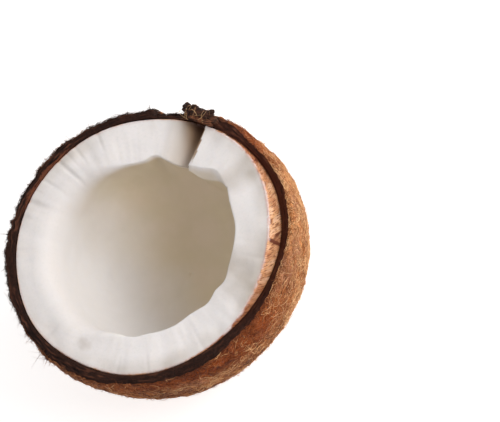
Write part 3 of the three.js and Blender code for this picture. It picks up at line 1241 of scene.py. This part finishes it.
# Its curled strands, which stand clear: start, middle and end.
SCRAP_CURLS = [
    ((-1.9, 3.2, 2.4), (-4.0, 0.4, 3.2), (-1.3, -2.3, 1.0)),
    ((2.9, 4.2, 2.2), (7.0, 4.2, 3.2), (6.9, 1.2, 1.3)),
    ((-0.8, 3.4, 2.6), (1.6, 4.8, 3.2), (3.6, 3.2, 2.5)),
    ((-1.5, -2.5, 0.7), (-2.6, -1.4, 1.8), (-2.6, 0.2, 1.8)),
    ((0.4, 2.8, 2.8), (1.6, 0.4, 3.4), (0.2, -1.6, 1.4)),
    ((4.6, 2.6, 2.6), (3.4, 0.6, 3.0), (5.2, -1.2, 1.4)),
    ((-5.2, 1.6, 1.6), (-6.4, -0.6, 1.8), (-4.6, -1.6, 0.8)),
]
LUMP_ROWS, LUMP_COLUMNS = 24, 44
LOOSE_FIBRES, FIBRE_STEPS = 16, 18


def scrap_lump(index, middle, half, spin):
    """Rings of a ragged, boxy lump, from its top to its bottom."""
    a = np.linspace(0, math.pi, LUMP_ROWS + 2)[1:-1, None]
    b = np.linspace(0, FULL_TURN, LUMP_COLUMNS, endpoint=False)[None, :]
    ball = around(b, np.sin(a), np.cos(a))
    local = np.sign(ball) * np.abs(ball) ** 0.7 * half
    ragged = fractal(local + 37.0 * index, 1.3, 3, 61)[..., None]
    stringy = fractal(local + 11.0 * index, (6, 1.2, 1.2), 2, 62)[..., None]
    local = local * (1 + ragged * (0.55, 0.55, 0.2)) + stringy * (0, 0.25, 0.3)
    c, s = math.cos(spin), math.sin(spin)
    return local @ np.array([[c, s, 0], [-s, c, 0], [0, 0, 1]]) + middle


def build_flake(to_edge):
    """Ragged layers of husk: a flake on the edge, lumps at its ends and a lighter strip."""
    points, faces, tint = [], [], []
    count = LUMP_ROWS * LUMP_COLUMNS
    for index, (middle, half, spin, light) in enumerate(SCRAP_LUMPS):
        lump = to_edge(scrap_lump(index, middle, half, spin))
        first = index * (count + 2)
        top, bottom = first + count, first + count + 1
        at = first + np.arange(count).reshape(LUMP_ROWS, LUMP_COLUMNS)
        beside = np.roll(at, -1, axis=1)
        walls = np.stack([at[:-1], at[1:], beside[1:], beside[:-1]], -1)
        faces += walls.reshape(-1, 4).tolist()
        faces += [[top, int(i), int(j)] for i, j in zip(at[0], beside[0])]
        faces += [[bottom, int(j), int(i)] for i, j in zip(at[-1], beside[-1])]
        points += [lump.reshape(-1, 3), np.array([lump[0].mean(0), lump[-1].mean(0)])]
        tint.append(np.full(count + 2, light))
    points = np.vstack(points)
    values = {"tint": np.concatenate(tint)}
    mesh_object("husk_flake", points, faces, husk_material(), values, "husk_scrap")


def build_husk_fibres(material, to_edge):
    """Thin fibres on the flake: the curled ones, then loose ones."""
    rng = np.random.default_rng(SEED + 2)
    one_each = (LOOSE_FIBRES, 1)
    u = np.linspace(0, 1, FIBRE_STEPS)[None, :]
    start = rng.uniform((-6.5, -1.6, -0.6), (6.5, 2.0, 1.4), (LOOSE_FIBRES, 3))
    aim = unit(rng.normal(0, 1, (LOOSE_FIBRES, 3)) * (1.0, 0.8, 0.5))
    length = rng.uniform(2.0, 6.5, one_each)
    swing = rng.uniform(0.5, 1.5, one_each)
    phase = rng.uniform(0, FULL_TURN, one_each)
    loose = start[:, None, :] + aim[:, None, :] * (length * u)[..., None]
    loose[..., 1] += swing * np.sin(phase + u * rng.uniform(1.5, 3.2, one_each))
    rise = np.sin(phase + 1 + u * rng.uniform(1.5, 3.0, one_each))
    loose[..., 2] = np.maximum(loose[..., 2] + swing * 0.7 * rise + 0.5, -1.0)
    a, b, c = (np.array(ends)[:, None, :] for ends in zip(*SCRAP_CURLS))
    paths = to_edge(np.concatenate([curve(a, b, c, u[..., None]), loose]))
    tints = {"tint": rng.uniform(0.8, 1, len(paths))}
    radii = rng.uniform(0.04, 0.07, len(paths))
    strands("husk_fibres", paths, radii, tints, material)


def build_scrap(material):
    low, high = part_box("husk_scrap")
    centre = np.array(((low + high) / 2 - Vector(EDGE_CENTRE)) * 1000)
    c, s = math.cos(SCRAP_AT), math.sin(SCRAP_AT)
    directions = np.array([[s, -c, 0.0], [c, s, 0.0], [0.0, 0.0, 1.0]])

    def to_edge(local):
        """From along the edge, outwards and up, counted from the scrap's middle."""
        return centre + local @ directions

    build_flake(to_edge)
    build_husk_fibres(material, to_edge)


# ---- The part ----
build_flesh(FLESH_COLUMNS)
build_shell(SHELL_COLUMNS)
coir = coir_material()
build_coat(coir)
build_edge_hairs(coir)
build_scrap(coir)


# ---- Camera: over the open side, leaning over towards +X and -Y ----
CAMERA_TILT = math.radians(28)
CAMERA_TOWARD = math.radians(-45)
CAMERA_DISTANCE = 0.9
LENS, SENSOR = 168.3, 36.0
# The edge's middle lies left of and below the picture's middle by these shares of its width.
ASIDE, BELOW = -0.2134, -0.064


def make_camera():
    s, c = math.sin(CAMERA_TILT), math.cos(CAMERA_TILT)
    look = np.array([s * math.cos(CAMERA_TOWARD), s * math.sin(CAMERA_TOWARD), c])
    right = unit(np.cross((0, 1, 0), look))
    up = np.cross(look, right)
    data = bpy.data.cameras.new("camera")
    data.sensor_width = SENSOR
    data.lens = LENS
    across = SENSOR / LENS
    ray = Vector((ASIDE * across, BELOW * across, -1)).normalized()
    turn = Vector((0, 0, -1)).rotation_difference(ray).to_matrix().inverted()
    basis = Matrix([list(right), list(up), list(look)]).transposed()
    camera = placed("camera", data)
    world = (basis @ turn).to_4x4()
    world.translation = Vector(EDGE_CENTRE + look * CAMERA_DISTANCE)
    camera.matrix_world = world
    bpy.context.scene.camera = camera


TABLE_HALF = 3.0
TABLE_WHITE = 0.87
GLOW = 0.56
LIT_POINT = (0, 0, 0.05)
LAMP_SIZE = 0.5
LAMP_COLOUR = (1.0, 0.98, 0.96)
# name, place and power
LAMPS = [("key", (0.785, -0.07, 0.665), 3.4), ("side", (0.75, 0.52, 0.455), 3.3)]


def area_light(name, place, power):
    data = bpy.data.lights.new(name, "AREA")
    data.shape = "DISK"
    data.size = LAMP_SIZE
    data.energy = power
    data.color = LAMP_COLOUR
    lamp = placed(name, data)
    lamp.location = place
    aim = Vector(LIT_POINT) - Vector(place)
    lamp.rotation_euler = aim.to_track_quat("-Z", "Y").to_euler()


def make_table():
    mesh = bpy.data.meshes.new("table")
    corners = [(x * TABLE_HALF, y * TABLE_HALF, 0) for x, y in ((-1, -1), (1, -1), (1, 1), (-1, 1))]
    mesh.from_pydata(corners, [], [(0, 1, 2, 3)])
    material, tree, shader = new_material("table")
    fill(tree, shader, {
        "Base Color": (TABLE_WHITE, TABLE_WHITE, TABLE_WHITE, 1),
        "Roughness": 0.6,
        "Emission Color": (1, 1, 1, 1),
        "Emission Strength": GLOW,
    })
    mesh.materials.append(material)
    placed("table", mesh)


def make_stage():
    """A white table, soft light from the right and a pale surrounding."""
    make_table()
    for lamp in LAMPS:
        area_light(*lamp)
    world = bpy.data.worlds.new("surrounding")
    world.use_nodes = True
    back = world.node_tree.nodes["Background"]
    back.inputs["Color"].default_value = (1.0, 0.99, 0.985, 1)
    back.inputs["Strength"].default_value = GLOW
    bpy.context.scene.world = world
    bpy.context.scene.view_settings.view_transform = "Standard"


make_camera()
make_stage()
